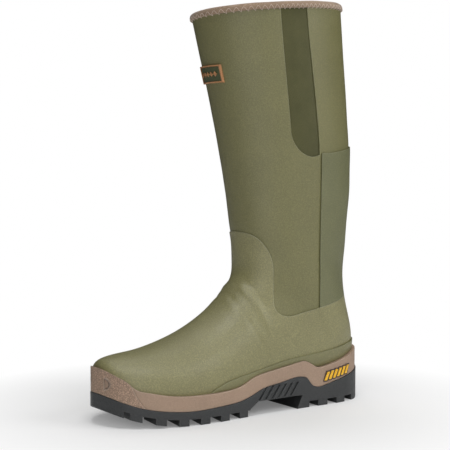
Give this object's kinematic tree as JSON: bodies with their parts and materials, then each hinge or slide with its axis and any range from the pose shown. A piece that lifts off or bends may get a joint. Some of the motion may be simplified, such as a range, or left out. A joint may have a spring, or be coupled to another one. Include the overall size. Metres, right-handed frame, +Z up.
{
  "type": "insulated rubber hunting boot",
  "caption": "Tall pull-on insulated rubber boot with raised galosh, side stretch panel, tan rubber band and lugged outsole.",
  "frame": {"origin": "on the ground under the middle of the boot's bounding box", "axes": "+X to the toe, +Y to the wearer's left, which is the boot's outer side, +Z up the shaft"},
  "size_m": [0.3035, 0.1198, 0.4084],
  "materials": {
    "green_rubber": "satin olive rubber with a fine grain",
    "tan_rubber": "matte tan rubber with a fine grain",
    "black_rubber": "matte black rubber",
    "stretch_fabric": "dark olive stretch fabric over foam",
    "binding_tape": "tan folded tape",
    "stitch_thread": "pale twisted thread",
    "badge_green": "matte dark green rubber",
    "badge_copper": "copper coloured moulding, softly metallic",
    "tag_yellow": "bright yellow rubber",
    "tag_edge": "dark brown print",
    "neoprene": "closed-cell foam",
    "knit_lining": "fine knitted lining",
    "stiffener": "moulded sheet",
    "fibre_board": "pressed fibre board",
    "shank_steel": "tempered steel strip",
    "foam": "moulded foam",
    "footbed_fabric": "brushed knit"
  },
  "bodies": {
    "root": {"outsole": "black_rubber", "midsole_band": "tan_rubber", "toe_bumper": "tan_rubber", "foxing_strip": "green_rubber", "galosh": "green_rubber", "back_stay": "green_rubber", "shaft_shell": "green_rubber", "foot_shell": "green_rubber", "gusset_panel": "stretch_fabric", "collar_binding": "binding_tape", "collar_stitch": "stitch_thread", "badge_base": "badge_green", "badge_frame": "badge_copper", "badge_mark": "badge_copper", "heel_tag": "tag_yellow", "heel_tag_edge": "tag_edge", "neoprene_lining": "neoprene", "fabric_lining": "knit_lining", "toe_puff": "stiffener", "heel_stiffener": "stiffener", "insole_board": "fibre_board", "shank": "shank_steel", "sole_filler": "foam", "heel_cushion": "foam", "footbed": "foam", "footbed_cover": "footbed_fabric"}
  },
  "joints": []
}
